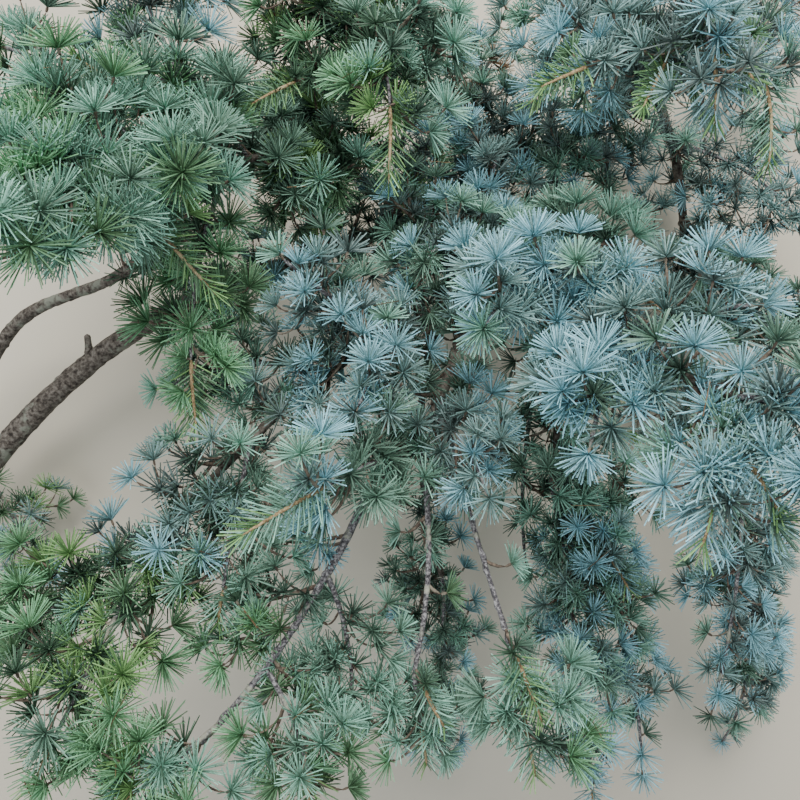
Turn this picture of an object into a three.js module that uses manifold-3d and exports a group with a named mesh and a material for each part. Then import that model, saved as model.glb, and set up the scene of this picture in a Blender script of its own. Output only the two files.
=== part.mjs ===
// A cut bough of a blue cedar, lying on the floor with its foliage spread.
// Millimetres. +X runs along the bough from its cut end, +Y towards the side that was uppermost on the
// tree, and +Z up from the floor at z = 0. The limbs are tapering solids. Each spray of needles is one
// solid: three-sided twigs that carry tufts, and a tuft is a slim core with needles standing out of it.
import * as THREE from "three";
import Module from "manifold-3d";

const wasm = await Module();
wasm.setup();

// Driving sizes
const SEAT_GAP = 0.3; // clear space between a piece and the one that carries it
const NEEDLE = 42; // needle length, larger than life because each tuft stands for several
const NEEDLE_SHORTEST = 0.86; // the shortest needle, as a share of that length
const NEEDLE_VARIES = 0.22; // from the shortest to the longest, as a share of that length
const BACK_LEAN = -8; // degrees by which a tuft's back needles lean forward from square to the twig
const FRONT_LEAN = 36; // the same for its front needles
const END_LEAN = 62; // the same for the needles that end a twig
const LEAN_VARIES = 16; // degrees over which each lean varies
const CORE = 4.2; // radius of the core that a tuft's needles stand out of
const CORE_HALF = 5; // half the core's length along its twig
const TWIG = 1.7; // radius of a twig
const STEM = 3; // radius of a spray's stem at its root
const STEM_TIP = 1.9; // radius of a spray's stem at its tip
const TUFT_GAP = 66; // from one tuft to the next
const FIRST_TUFT = 34; // from a stem's root to its first tuft, at least
const FIRST_ON_TWIG = 26; // the same on a twig
const FIRST_TWIG = 0.2; // where a stem's first twig leaves it, as a share of the stem
const TWIGS_SPAN = 0.62; // the stretch of the stem that carries twigs
const TWIG_SPREAD = 55; // degrees between a twig and its stem
const SPREAD_VARIES = 14; // degrees over which that varies
const TWIG_ROLL = 110; // degrees over which the twigs turn out of a spray's flat plane
const TWIG_TAPER = 0.4; // how much shorter the last twig is, as a share of the longest
const TWIG_SAG = 0.12; // how far a twig's middle hangs, as a share of its length
const ROOM = 2.8; // radius of the space that one needle keeps for itself
const LIMB_STEP = 60; // from one ring of a limb to the next
const FLOOR_SPAN = 4000; // sides of the block that stands for the floor
const FLOOR_DEPTH = 400;

// The middle of the bough's outline, which becomes the origin
const MIDDLE = [-100, 27];

const BARK = { color: 0x6f675f, roughness: 0.9 };
const BLUE = { color: 0x8fa9ab, roughness: 0.6 };
const TEAL = { color: 0x66877f, roughness: 0.6 };
const GREEN = { color: 0x5c7f55, roughness: 0.6 };

// Each limb: what carries it and how far along, where its tip lies, how its middle bows off the straight
// line, how it sways to both sides of that, its radius at root and tip, and its number of sides.
const LIMBS = {
  main_limb: {
    root: [-722, -328, 14.8],
    tip: [366, 424, 120],
    bow: [0, 100, 90],
    sway: [0, 60, 0],
    thick: [16, 5],
    sides: 10,
  },
  left_limb: {
    on: "main_limb",
    at: 0.13,
    tip: [-200, 290, 340],
    bow: [0, 49, -30],
    sway: [-25, 51, 0],
    thick: [9, 4.2],
    sides: 8,
  },
  upper_limb: { on: "main_limb", at: 0.57, tip: [-40, 360, 330], bow: [-20, 0, 14], thick: [6, 3.4] },
  near_limb: { on: "upper_limb", at: 0.5, tip: [-226, 152, 500], bow: [0, 10, -8], thick: [4.8, 3.2] },
  centre_limb: { on: "main_limb", at: 0.69, tip: [-27, -80, 400], bow: [62, 0, 12], thick: [8, 4] },
  bare_twig: { on: "centre_limb", at: 1, tip: [-172, -296, 425], bow: [8, -8, 10], thick: [3.8, 3.2] },
  fork_twig: { on: "centre_limb", at: 0.84, tip: [12, -236, 420], bow: [12, 0, 4], thick: [3.6, 3.2] },
  tip_twig: { on: "centre_limb", at: 0.72, tip: [88, -192, 450], bow: [-6, 8, 12], thick: [3.6, 3.2] },
  drooping_limb: { on: "centre_limb", at: 0.4, tip: [-235, -150, 400], bow: [4, 40, 30], thick: [5.5, 3.2] },
  right_limb: { on: "main_limb", at: 0.72, tip: [222, 2, 580], bow: [-20, -22, 20], thick: [6.5, 3.2] },
  back_limb: { on: "main_limb", at: 0.95, tip: [360, 93, 62], bow: [20, 0, 14], thick: [6, 4] },
  high_limb: { on: "main_limb", at: 0.9, tip: [233, 297, 470], bow: [10, 24, -10], thick: [5, 3.2] },
  shaded_limb: { on: "main_limb", at: 0.76, tip: [160, -90, 275], bow: [26, 26, 30], thick: [5.5, 3.2] },
  far_limb: { on: "back_limb", at: 0.55, tip: [358, -100, 265], bow: [26, 10, 30], thick: [5, 3.2] },
  low_limb: { on: "centre_limb", at: 0.22, tip: [48, -200, 215], bow: [-30, 0, -14], thick: [4.4, 3.2] },
};

// The sprays on each limb: how far along, where the stem's tip lies, how its middle bows, its number of
// twigs, the length of the longest, and the colour of its needles.
const SPRAYS = {
  main_limb: [
    { at: 0.17, tip: [-486, -262, 34], bow: [20, 0, 20], twigs: 3, reach: 78, tint: GREEN },
    { at: 0.78, tip: [72, 500, 40], bow: [0, 0, 50], twigs: 4, reach: 80, tint: TEAL },
    { at: 0.82, tip: [104, 176, 262], bow: [-30, 30, 20], twigs: 3, reach: 70, tint: BLUE },
    { at: 1, tip: [494, 470, 190], bow: [0, 10, 0], twigs: 4, reach: 78, tint: BLUE },
  ],
  left_limb: [
    { at: 0.86, tip: [-376, 322, 390], bow: [0, 30, 10], twigs: 4, reach: 78, tint: TEAL },
    { at: 1, tip: [-262, 446, 330], bow: [-10, 10, 20], twigs: 5, reach: 80, tint: BLUE },
  ],
  near_limb: [
    { at: 1, tip: [-290, 112, 592], bow: [0, 6, 0], twigs: 4, reach: 62, tint: TEAL },
    { at: 0.75, tip: [-284, 200, 536], bow: [0, 14, 0], twigs: 4, reach: 62, tint: TEAL },
    { at: 0.4, tip: [-206, 270, 446], bow: [0, 10, 0], twigs: 4, reach: 60, tint: TEAL },
    { at: 0.5, tip: [-176, -24, 420], bow: [-14, 0, 10], twigs: 4, reach: 48, tint: GREEN },
  ],
  upper_limb: [
    { at: 1, tip: [-98, 452, 318], bow: [0, 0, 10], twigs: 4, reach: 80, tint: GREEN },
    { at: 0.9, tip: [-10, 190, 410], bow: [16, 44, 26], twigs: 5, reach: 56, tint: GREEN },
    { at: 0.62, tip: [-128, 246, 214], bow: [-10, 30, 10], twigs: 4, reach: 74, tint: GREEN },
  ],
  centre_limb: [
    { at: 0.3, tip: [24, 128, 372], bow: [0, 20, 12], twigs: 4, reach: 62, tint: TEAL },
    { at: 0.78, tip: [70, -76, 470], bow: [4, 10, 10], twigs: 3, reach: 48, tint: BLUE },
    { at: 0.9, tip: [-112, -96, 545], bow: [14, 14, 20], twigs: 3, reach: 50, tint: TEAL },
  ],
  drooping_limb: [
    { at: 0.22, tip: [-34, -6, 470], bow: [0, 8, 24], twigs: 3, reach: 56, tint: BLUE },
    { at: 0.3, tip: [-96, 116, 452], bow: [0, 0, 20], twigs: 3, reach: 62, tint: BLUE },
    { at: 0.45, tip: [-214, 10, 390], bow: [0, 14, 0], twigs: 4, reach: 60, tint: TEAL },
    { at: 0.68, tip: [-160, -196, 410], bow: [0, 0, 10], twigs: 3, reach: 58, tint: TEAL },
    { at: 0.94, tip: [-290, -306, 480], bow: [0, 0, 16], twigs: 5, reach: 66, tint: GREEN },
    { at: 1, tip: [-370, -240, 415], bow: [0, 14, 0], twigs: 4, reach: 66, tint: GREEN },
  ],
  bare_twig: [
    { at: 0.3, tip: [-46, -290, 400], bow: [10, 0, 0], twigs: 3, reach: 46, tint: TEAL },
    { at: 0.66, tip: [-78, -350, 440], bow: [14, 0, 8], twigs: 4, reach: 54, tint: GREEN },
    { at: 0.9, tip: [-240, -336, 470], bow: [0, 0, 8], twigs: 4, reach: 58, tint: GREEN },
  ],
  fork_twig: [{ at: 1, tip: [24, -326, 400], twigs: 3, reach: 44, tint: TEAL }],
  tip_twig: [{ at: 1, tip: [112, -312, 450], bow: [0, 0, 8], twigs: 3, reach: 46, tint: TEAL }],
  right_limb: [
    { at: 0.46, tip: [66, 56, 500], bow: [0, 10, 14], twigs: 3, reach: 60, tint: BLUE },
    { at: 0.52, tip: [166, 100, 480], bow: [0, 10, 14], twigs: 3, reach: 56, tint: BLUE },
    { at: 0.74, tip: [134, -34, 545], bow: [0, 6, 8], twigs: 3, reach: 52, tint: BLUE },
    { at: 0.84, tip: [250, 66, 548], bow: [0, 12, 8], twigs: 3, reach: 52, tint: BLUE },
    { at: 1, tip: [290, -32, 608], bow: [0, 8, 4], twigs: 3, reach: 54, tint: BLUE },
    { at: 0.94, tip: [192, -94, 600], bow: [6, 0, 10], twigs: 3, reach: 42, tint: BLUE },
  ],
  back_limb: [
    { at: 0.24, tip: [470, 190, 200], bow: [0, 14, 20], twigs: 5, reach: 84, tint: BLUE },
    { at: 1, tip: [346, -88, 40], twigs: 3, reach: 80, tint: GREEN },
  ],
  high_limb: [
    { at: 1, tip: [236, 206, 512], bow: [0, 14, 18], twigs: 3, reach: 46, tint: BLUE },
    { at: 0.7, tip: [328, 206, 400], bow: [30, 34, 10], twigs: 4, reach: 54, tint: TEAL },
    { at: 0.8, tip: [120, 272, 380], bow: [0, 24, 8], twigs: 5, reach: 62, tint: BLUE },
  ],
  shaded_limb: [
    { at: 0.6, tip: [136, -176, 250], bow: [-14, 0, 0], twigs: 3, reach: 60, tint: TEAL },
    { at: 0.88, tip: [262, -400, 250], bow: [14, 0, 20], twigs: 4, reach: 62, tint: BLUE },
    { at: 1, tip: [196, -418, 310], bow: [0, 0, 20], twigs: 4, reach: 62, tint: BLUE },
  ],
  far_limb: [
    { at: 0.5, tip: [468, 60, 240], bow: [0, 14, 14], twigs: 3, reach: 70, tint: BLUE },
    { at: 0.9, tip: [326, -324, 280], bow: [0, 0, 20], twigs: 3, reach: 60, tint: BLUE },
    { at: 1, tip: [436, -460, 40], bow: [10, 0, 40], twigs: 4, reach: 66, tint: BLUE },
  ],
  low_limb: [{ at: 1, tip: [57, -480, 40], bow: [0, 0, 40], twigs: 4, reach: 60, tint: TEAL }],
};

// Vectors
const vector = (values = [0, 0, 0]) => new THREE.Vector3(...values);

// A repeatable number from 0 to 1 for the count and seed given
function chance(count, seed) {
  const wave = Math.sin(count * 12.9898 + seed * 78.233) * 43758.5453;
  return wave - Math.floor(wave);
}

// The way a limb or twig runs: a straight line, plus a bow to one side, plus a sway to both
function pathOf({ root, tip, bow, sway }) {
  const start = vector(root);
  const along = vector(tip).sub(start);
  const side = vector(bow);
  const wave = vector(sway);
  const length = along.length();
  const point = (t) =>
    start
      .clone()
      .addScaledVector(along, t)
      .addScaledVector(side, 4 * t * (1 - t))
      .addScaledVector(wave, Math.sin(2 * Math.PI * t));
  const heading = (t) =>
    along
      .clone()
      .addScaledVector(side, 4 * (1 - 2 * t))
      .addScaledVector(wave, 2 * Math.PI * Math.cos(2 * Math.PI * t))
      .normalize();
  return { point, heading, length };
}

// A direction square to the heading and as level as it can be
function levelSide(heading) {
  const side = new THREE.Vector3().crossVectors(heading, vector([0, 0, 1]));
  if (side.length() < 0.3) side.crossVectors(heading, vector([1, 0, 0]));
  return side.normalize();
}

// The two directions square to the path at t, without a twist along the way
function frameAt(path, t) {
  const heading = path.heading(t);
  const first = levelSide(path.heading(0));
  first.addScaledVector(heading, -first.dot(heading)).normalize();
  const second = new THREE.Vector3().crossVectors(heading, first);
  return { heading, first, second };
}

// A mesh under way: its points and its triangles
class Shell {
  constructor(sides) {
    this.sides = sides;
    this.points = [];
    this.faces = [];
  }

  addPoint(point) {
    this.points.push(point);
    return this.points.length - 1;
  }

  addRing(path, t, radius, turn) {
    const { first, second } = frameAt(path, t);
    const centre = path.point(t);
    const ring = [];
    for (let k = 0; k < this.sides; k += 1) {
      const angle = turn + (2 * Math.PI * k) / this.sides;
      const point = centre.clone();
      point.addScaledVector(first, radius * Math.cos(angle));
      point.addScaledVector(second, radius * Math.sin(angle));
      ring.push(this.addPoint(point));
    }
    return ring;
  }

  // The triangles between two rings
  band(a, b) {
    const faces = [];
    for (let k = 0; k < this.sides; k += 1) {
      const next = (k + 1) % this.sides;
      faces.push([a[k], a[next], b[k]]);
      faces.push([b[k], a[next], b[next]]);
    }
    return faces;
  }

  // The flat end of a ring, facing back along the path or forward
  cap(ring, forward) {
    for (let k = 1; k < this.sides - 1; k += 1) {
      const face = [ring[0], ring[k], ring[k + 1]];
      this.faces.push(forward ? face : face.reverse());
    }
  }

  solid() {
    const vertProperties = new Float32Array(this.points.flatMap((point) => point.toArray()));
    const triVerts = new Uint32Array(this.faces.flat());
    return new wasm.Manifold(new wasm.Mesh({ numProp: 3, vertProperties, triVerts }));
  }
}

// A tapering limb with flat ends. A larger margin gives the space that its neighbours keep clear of.
function limbSolid(path, { thick, sides = 7 }, margin = 0) {
  const shell = new Shell(sides);
  const steps = Math.max(3, Math.round(path.length / LIMB_STEP));
  const grow = margin / Math.cos(Math.PI / sides);
  const past = margin / path.length;
  let last = null;
  for (let k = 0; k <= steps; k += 1) {
    const share = k / steps;
    const radius = THREE.MathUtils.lerp(thick[0], thick[1], share) + grow;
    const t = THREE.MathUtils.lerp(-past, 1 + past, share);
    const ring = shell.addRing(path, t, radius, 0);
    if (last) shell.faces.push(...shell.band(last, ring));
    else shell.cap(ring, false);
    last = ring;
  }
  shell.cap(last, true);
  return shell.solid();
}

// The spaces already taken, as rods: two ends, a radius and the piece they belong to
const taken = [];

// The shortest distance between two rods' middle lines
function rodDistance(p, q) {
  const u = q.line;
  const v = p.line;
  const w = p.start.clone().sub(q.start);
  const a = v.dot(v);
  const b = v.dot(u);
  const c = u.dot(u);
  const d = v.dot(w);
  const e = u.dot(w);
  const spread = a * c - b * b;
  let s = spread > 1e-9 ? THREE.MathUtils.clamp((b * e - c * d) / spread, 0, 1) : 0;
  let t = (b * s + e) / c;
  if (t < 0 || t > 1) {
    t = THREE.MathUtils.clamp(t, 0, 1);
    s = THREE.MathUtils.clamp((b * t - d) / a, 0, 1);
  }
  return w.addScaledVector(v, s).addScaledVector(u, -t).length();
}

function rod(start, end, radius, owner) {
  const line = end.clone().sub(start);
  const middle = start.clone().addScaledVector(line, 0.5);
  return { start, line, middle, radius, owner, half: line.length() / 2 };
}

function meets(one, other) {
  const space = one.radius + other.radius;
  const apart = one.middle.distanceTo(other.middle);
  if (apart > space + one.half + other.half) return false;
  return rodDistance(one, other) < space;
}

const isFree = (one) => !taken.some((other) => other.owner !== one.owner && meets(one, other));

// The rods that cover a path from one share of it to another
function rodsAlong(path, from, to, radius, owner) {
  const count = Math.max(1, Math.ceil(((to - from) * path.length) / LIMB_STEP));
  const rods = [];
  for (let k = 0; k < count; k += 1) {
    const start = path.point(THREE.MathUtils.lerp(from, to, k / count));
    const end = path.point(THREE.MathUtils.lerp(from, to, (k + 1) / count));
    rods.push(rod(start, end, radius, owner));
  }
  return rods;
}

// Where each tuft sits on a twig, as shares of its path: the last one ends it
function tuftPlaces(path, first) {
  const last = path.length - CORE_HALF;
  const places = [last / path.length];
  for (let s = last - TUFT_GAP; s >= first; s -= TUFT_GAP) places.unshift(s / path.length);
  return places;
}

// One needle on a triangle of a core, which leans forward along the twig by the given degrees
function addNeedle(shell, face, path, t, lean, chanceAt, owner) {
  const [p, q, r] = face.map((index) => shell.points[index]);
  const foot = p.clone().add(q).add(r).divideScalar(3);
  const heading = path.heading(t);
  const out = foot.clone().sub(path.point(t));
  out.addScaledVector(heading, -out.dot(heading)).normalize();
  const angle = THREE.MathUtils.degToRad(lean + LEAN_VARIES * (chanceAt(1) - 0.5));
  const length = NEEDLE * (NEEDLE_SHORTEST + NEEDLE_VARIES * chanceAt(2));
  const reach = out.multiplyScalar(Math.cos(angle)).addScaledVector(heading, Math.sin(angle));
  const point = foot.clone().addScaledVector(reach, length);
  const space = rod(foot, point, ROOM, owner);
  if (!isFree(space)) {
    shell.faces.push(face);
    return;
  }
  taken.push(space);
  const top = shell.addPoint(point);
  shell.faces.push([face[0], face[1], top], [face[1], face[2], top], [face[2], face[0], top]);
}

// A twig with its tufts. Each core widens from a neck to its belly and narrows again, every ring turned
// half a step from the last, and a needle stands on each triangle between them.
function twigSolid(twig, owner) {
  const { path, radii, tufts, seed } = twig;
  const shell = new Shell(3);
  const half = CORE_HALF / path.length;
  const halfTurn = Math.PI / 3;
  let turn = 2 * Math.PI * chance(1, seed);
  let last = shell.addRing(path, 0, radii[0], turn);
  let count = 0;
  const chanceAt = (k) => chance(count * 7 + k, seed + 0.5);
  const needles = (faces, t, lean) => {
    for (const face of faces) {
      count += 1;
      addNeedle(shell, face, path, t, lean, chanceAt, owner);
    }
  };
  shell.cap(last, false);
  for (const place of tufts) {
    const thin = THREE.MathUtils.lerp(radii[0], radii[1], place);
    const neck = shell.addRing(path, place - half, thin, turn);
    shell.faces.push(...shell.band(last, neck));
    turn += halfTurn;
    const belly = shell.addRing(path, place, CORE, turn);
    needles(shell.band(neck, belly), place - half / 2, BACK_LEAN);
    if (place < tufts.at(-1)) {
      turn += halfTurn;
      last = shell.addRing(path, place + half, thin, turn);
      needles(shell.band(belly, last), place + half / 2, FRONT_LEAN);
    } else {
      const top = shell.addPoint(path.point(1));
      const cone = belly.map((index, k) => [index, belly[(k + 1) % 3], top]);
      needles(cone, 1, END_LEAN);
    }
  }
  return shell.solid();
}

// The twigs of a spray: they leave its stem by turns to the left and right, shorter towards the tip, and
// sag a little towards the side that the bough hung to
function twigsOf(stem, { twigs, reach }, seed, owner) {
  const grown = [];
  for (let k = 0; k < twigs; k += 1) {
    const at = FIRST_TWIG + (TWIGS_SPAN * (k + 0.3 * chance(k, seed))) / twigs;
    const { heading, first, second } = frameAt(stem, at);
    const side = (k + Math.round(seed)) % 2 === 0 ? 1 : -1;
    const roll = THREE.MathUtils.degToRad(TWIG_ROLL * (chance(k + 20, seed) - 0.5));
    const across = first.multiplyScalar(side * Math.cos(roll)).addScaledVector(second, Math.sin(roll));
    const spread = THREE.MathUtils.degToRad(TWIG_SPREAD + SPREAD_VARIES * (chance(k + 40, seed) - 0.5));
    const way = heading.multiplyScalar(Math.cos(spread)).addScaledVector(across, Math.sin(spread));
    const length = reach * (1 - (TWIG_TAPER * k) / twigs) * (0.9 + 0.3 * chance(k + 60, seed));
    const root = stem.point(at);
    const tip = root.clone().addScaledVector(way, length);
    const bow = [0, -TWIG_SAG * length, 0];
    const path = pathOf({ root: root.toArray(), tip: tip.toArray(), bow });
    const clear = rodsAlong(path, STEM / length, 1, CORE, owner);
    if (!clear.every(isFree)) continue;
    taken.push(...clear);
    const tufts = tuftPlaces(path, FIRST_ON_TWIG);
    grown.push({ path, radii: [TWIG, TWIG], tufts, seed: seed + 3.7 * (k + 1) });
  }
  return grown;
}

// The largest piece of a solid, when a cut has left a loose scrap
function largest(solid) {
  const pieces = solid.decompose();
  pieces.sort((a, b) => b.volume() - a.volume());
  return pieces[0];
}

// A box under the floor, which takes off what would reach below it
function underFloor() {
  const box = new THREE.BoxGeometry(FLOOR_SPAN, FLOOR_SPAN, FLOOR_DEPTH);
  box.translate(0, 0, -FLOOR_DEPTH / 2);
  const shell = new Shell(0);
  const corners = new Map();
  const place = box.getAttribute("position");
  const indexOf = (k) => {
    const point = new THREE.Vector3().fromBufferAttribute(place, k);
    const key = point.toArray().join();
    if (!corners.has(key)) corners.set(key, shell.addPoint(point));
    return corners.get(key);
  };
  const order = box.getIndex().array;
  for (let k = 0; k < order.length; k += 3) {
    shell.faces.push([indexOf(order[k]), indexOf(order[k + 1]), indexOf(order[k + 2])]);
  }
  return shell.solid();
}

function geometryOf(solid) {
  const { vertProperties, triVerts } = solid.getMesh();
  const geometry = new THREE.BufferGeometry();
  geometry.setAttribute("position", new THREE.BufferAttribute(vertProperties, 3));
  geometry.setIndex(new THREE.BufferAttribute(triVerts, 1));
  geometry.computeVertexNormals();
  return geometry;
}

function meshOf(name, solid, finish) {
  const mesh = new THREE.Mesh(geometryOf(solid), new THREE.MeshStandardMaterial(finish));
  mesh.name = name;
  return mesh;
}

// The place that a limb or spray grows from: on the middle line of what carries it
const paths = {};
const rootOf = ({ on, at, root }) => (on ? paths[on].point(at).toArray() : root);

for (const [name, limb] of Object.entries(LIMBS)) {
  paths[name] = pathOf({ ...limb, root: rootOf(limb) });
  taken.push(...rodsAlong(paths[name], 0, 1, limb.thick[0], name));
}

const sprays = {};
for (const [on, rows] of Object.entries(SPRAYS)) {
  const word = on.split("_")[0];
  rows.forEach((row, k) => {
    sprays[`${word}_spray_${k + 1}`] = { on, ...row };
  });
}

const stems = {};
for (const [name, spray] of Object.entries(sprays)) {
  stems[name] = pathOf({ ...spray, root: rootOf(spray) });
  taken.push(...rodsAlong(stems[name], 0, 1, CORE, name));
}

const twigs = {};
Object.entries(sprays).forEach(([name, spray], k) => {
  const tufts = tuftPlaces(stems[name], FIRST_TUFT);
  const stem = { path: stems[name], radii: [STEM, STEM_TIP], tufts, seed: k + 1 };
  twigs[name] = [stem, ...twigsOf(stems[name], spray, k + 1, name)];
});

const floor = underFloor();
const bough = new THREE.Group();
bough.position.set(-MIDDLE[0], -MIDDLE[1], 0);

// What carries a piece, grown by the seat's gap, is cut away from the piece
const seatOf = (on) => limbSolid(paths[on], LIMBS[on], SEAT_GAP);

for (const [name, limb] of Object.entries(LIMBS)) {
  let solid = limbSolid(paths[name], limb);
  if (limb.on) solid = largest(solid.subtract(seatOf(limb.on)));
  bough.add(meshOf(name, solid, BARK));
}

for (const [name, spray] of Object.entries(sprays)) {
  let solid = twigs[name].map((twig) => twigSolid(twig, name)).reduce((all, next) => all.add(next));
  solid = solid.subtract(seatOf(spray.on)).subtract(floor);
  bough.add(meshOf(name, largest(solid), spray.tint));
}

export default bough;
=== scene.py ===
"""A cut bough of a blue cedar, lying on a pale floor and seen from straight above.

The tables and the rule for the twigs are the part's own, in millimetres. Every solid limb gets a barked
mesh, and every spray grows on to finer twigs, spurs and needles within the same reach.
"""

from types import SimpleNamespace

import bpy
import numpy as np
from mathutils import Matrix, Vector


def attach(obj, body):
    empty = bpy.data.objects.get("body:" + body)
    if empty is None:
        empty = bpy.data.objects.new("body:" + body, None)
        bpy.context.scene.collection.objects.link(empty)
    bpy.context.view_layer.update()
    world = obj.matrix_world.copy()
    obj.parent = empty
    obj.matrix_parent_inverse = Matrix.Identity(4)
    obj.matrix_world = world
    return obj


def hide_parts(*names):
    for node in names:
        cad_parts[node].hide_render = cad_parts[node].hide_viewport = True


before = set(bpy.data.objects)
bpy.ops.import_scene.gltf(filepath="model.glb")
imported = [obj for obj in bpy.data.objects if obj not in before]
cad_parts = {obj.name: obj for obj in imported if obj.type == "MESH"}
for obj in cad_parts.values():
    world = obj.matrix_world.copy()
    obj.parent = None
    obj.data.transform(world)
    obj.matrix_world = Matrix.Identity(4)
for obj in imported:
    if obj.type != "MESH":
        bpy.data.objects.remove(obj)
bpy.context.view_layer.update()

MM = 0.001
MIDDLE = np.array([-100.0, 27.0, 0.0])  # the point of the tables that is the origin

# The rule for twigs, as in the part's source
FIRST_TWIG = 0.2
TWIGS_SPAN = 0.62
TWIG_SPREAD = 55
SPREAD_VARIES = 14
TWIG_ROLL = 110
TWIG_TAPER = 0.4
TWIG_SAG = 0.12
STEM = (2.6, 1.5)
TWIG = (1.5, 1.0)

# Finer twigs and sprigs. Each pair is the radius at the foot and at the tip
SKYWARD = np.array([0.0, 0.88, 0.48])  # towards the light that the bough grew in
GOLDEN = np.pi * (3 - np.sqrt(5))
FINE_TWIG = (1.1, 0.8)
FINE_GAP = 24  # from one finer twig to the next
FINE_REACH = 31
SPRIG = (2.0, 1.2)
SPRIG_TO_LIGHT = 0.55
FILL_BOW = (0, 0, 8)
LONG_BOW = (0, 0, 10)
SCAR_GAP = 4.4  # from one leaf scar to the next along a twig
TWIG_SIDES = 6
FINE_SIDES = 5
FLOOR_GAP = 12  # how far above the floor a sprig's tip stays

# Tufts on their spurs
TUFT_GAP = 21  # from one tuft to the next along a twig
FIRST_TUFT = 9
SPUR = 4.2  # how far a tuft's middle stands off its twig
SPUR_RADII = (1.0, 1.35, 0.7)  # at its foot, past its middle and in the tuft
SPUR_TO_TIP = 0.45  # how far a spur leans along its twig
SPUR_TO_LIGHT = 0.95
LAST_TO_LIGHT = 0.45  # the same for the tuft that ends a twig
# Tufts nearer a twig's tip are paler, partly as newer growth and partly as painted light on outer tufts
# against painted shade on inner ones
TIP_PALER = 0.5
DEEP_UNDER = 0.36  # tones that part the deep tufts in painted shade, the mid ones, and the pale tufts in painted light
PALE_FROM = 0.7
DEAD = 0.004  # share of tufts that have died
YOUNG = 0.13  # share of the green tufts that are this year's

# Needles
NEEDLE = 22
NEEDLES = {"pale": 44, "mid": 36, "deep": 24}  # in a tuft of each shade
YOUNG_NEEDLES = 36  # in a young or a dead tuft
LUSH = 1.1  # growth above which a tuft has half as many needles again
NEEDLE_ROUND = {"pale": 0.64, "mid": 0.7, "deep": 0.78}  # radius of a needle's three-sided section
YOUNG_ROUND = 0.7
SINGLE_ROUND = 0.68  # the same for the needles of long shoots
DRY_ROUND = 0.5
NEEDLE_TAPER = 0.7
MOST_NEEDLES = 24000  # in one piece
INNERMOST = 5  # degrees between a tuft's axis and its first needle
WIDEST = (62, 90)  # degrees that its last needle leans out
TURN_STRAYS = 0.07  # radians
LEAN_STRAYS = 2.5  # degrees
TUFT_VARIES = (0.84, 1.12)
NEEDLE_VARIES = (0.88, 1.06)
DRY = 130  # dry needles caught in the tufts
ALONG = 0.2  # how much of a needle's tone its distance from the foot gives: deeper at the foot and paler at the tip, partly the needle's own colour and partly painted shade in the tuft's core and painted highlight at the tip
UNLIKE = 0.5  # how far one needle's tone strays from the next, in the same measure
PAINTED_EDGE_LIGHT = (1.0, -0.4, -0.6)  # painted highlight on a needle's first edge and painted shade on the other two, added to its tone in the same measure
LOWEST = 1.2  # how near the floor a needle comes

# Long shoots
SHOOT_STEM = (2.0, 1.0)
SHOOT_GAP = 0.62  # along a long shoot, from one needle to the next
SHOOT_LEAN = (34, 30)  # degrees that its needles lean forward at its foot, and how many more at its tip
SHOOT_TO_LIGHT = 0.08
PARTING = 0.62  # needles that stand up more steeply than this are mostly missing
STANDING = 0.2  # share of those that are there
ROOTED = 0.4  # how deep a needle's foot sits in the stem
SHORTER = 0.8  # growth of the slender long shoots against their limb's

# Bark and cut wood
BARK_STEP = 2.2
MAIN_SIDES = 40
LIMB_SIDES = 20
LIMB_ROUGH = 1.1  # how strongly ridges and scales stand out
TWIG_ROUGH = 1.9
KNOB_GAP = 17  # from one knob where a spur stood to the next
KNOB = 1.3  # how far a knob stands out
COLLAR = 0.45  # how much a limb widens where it joins, as a share of its radius
STUB_AT = 0.31  # share of the main limb at which the stub of a lost limb stands
STUB_REACH = (2, 34, 16)
STUB = (5.4, 3.6)
STUB_SIDES = 16
CUT_RADIUS = 13.6
CUT_PROUD = 0.5  # how far the cut face stands out of the limb's end
CUT_INTO = 2.0
RINGS = 4600.0  # radians of growth ring to a metre from the pith
FLOOR_SKIN = 0.1  # where what rests on the floor is pressed flat

# Where the count of chance starts for each kind of growth, and its step from one twig to the next
SPRIG_SEED = 60
FILL_SEED = 80
SPRIG_TUFT_SEED = 100
LONG_SEED = 120
BARK_SEED = 30
STUB_SEED = 52
NEEDLE_SEED = 7
TWIG_STEP = 3.7
FINE_STEP = 1.3

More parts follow.
